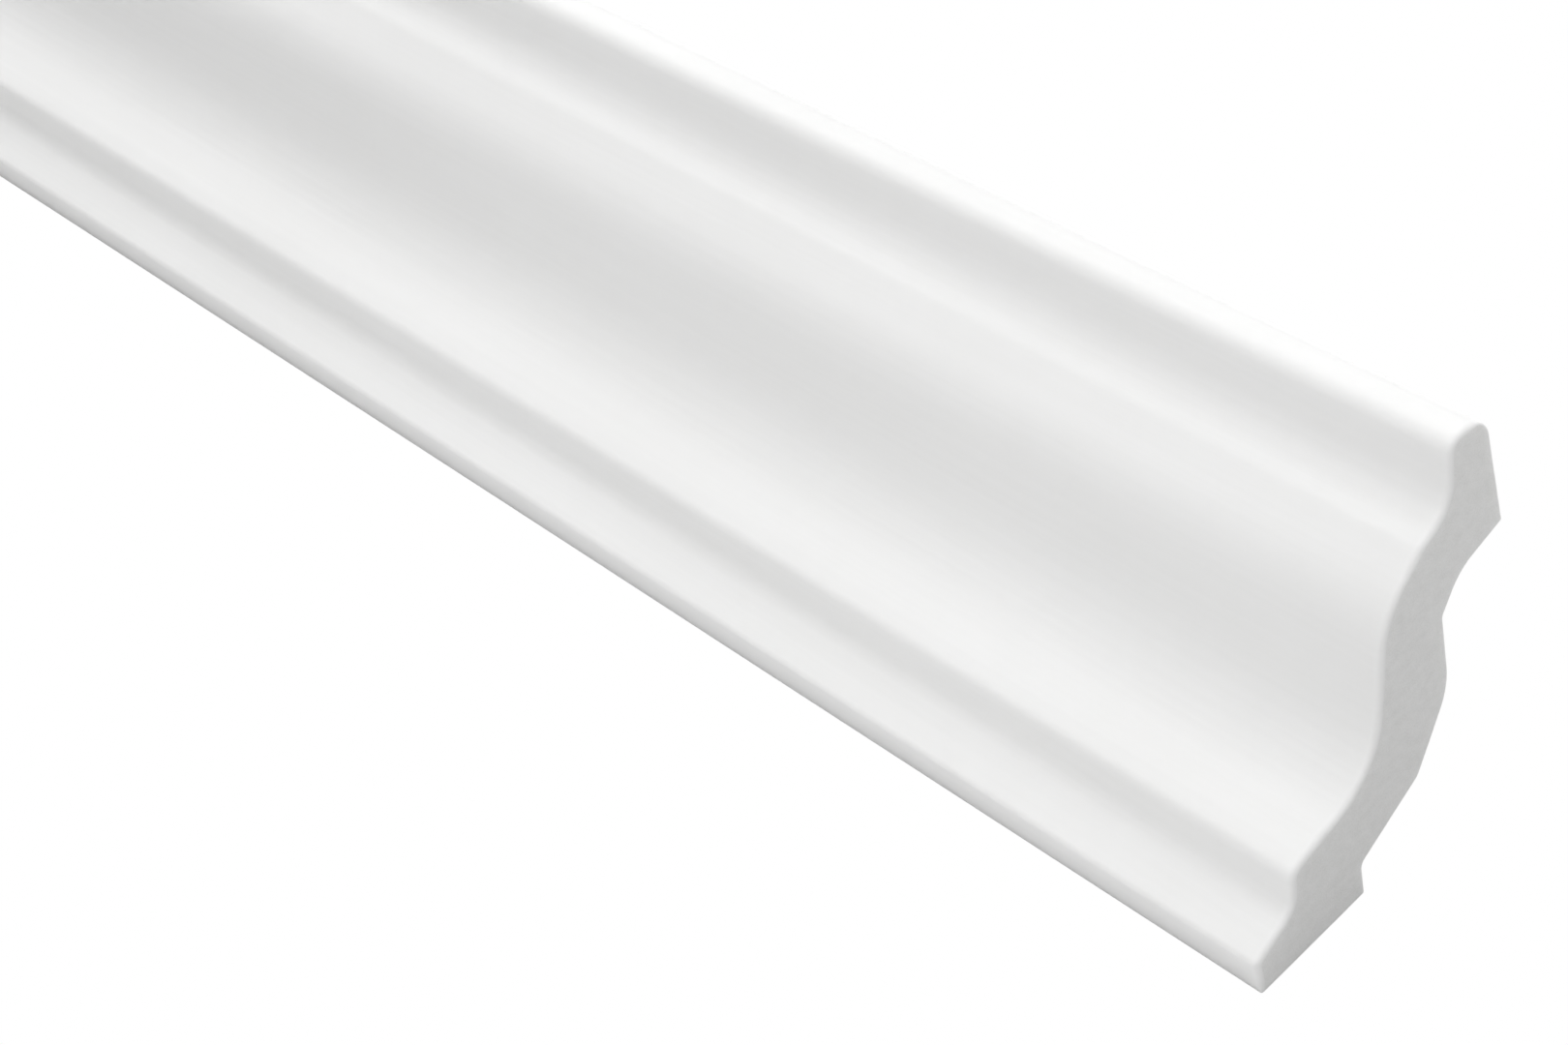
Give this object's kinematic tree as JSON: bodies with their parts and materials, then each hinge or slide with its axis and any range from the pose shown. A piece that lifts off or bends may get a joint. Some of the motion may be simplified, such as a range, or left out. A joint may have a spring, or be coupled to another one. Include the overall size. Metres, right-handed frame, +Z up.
{
  "type": "crown moulding length",
  "caption": "Straight length of white foam crown moulding with coves, a broad ovolo and a rounded arris, hollow behind and cut square, for the corner of wall and ceiling.",
  "frame": {"origin": "centre of the flat strip that is glued to the wall, at the middle of the length", "axes": "+X along the length, +Y into the wall, +Z up to the ceiling; the moulded side looks towards -Y and -Z"},
  "size_m": [1, 0.092, 0.085],
  "materials": {
    "white_foam": "smooth dull white skin of extruded polystyrene foam with faint lengthwise drawing lines; sawn ends show the fine cells"
  },
  "bodies": {
    "root": {"crown_moulding": "white_foam"}
  },
  "joints": []
}
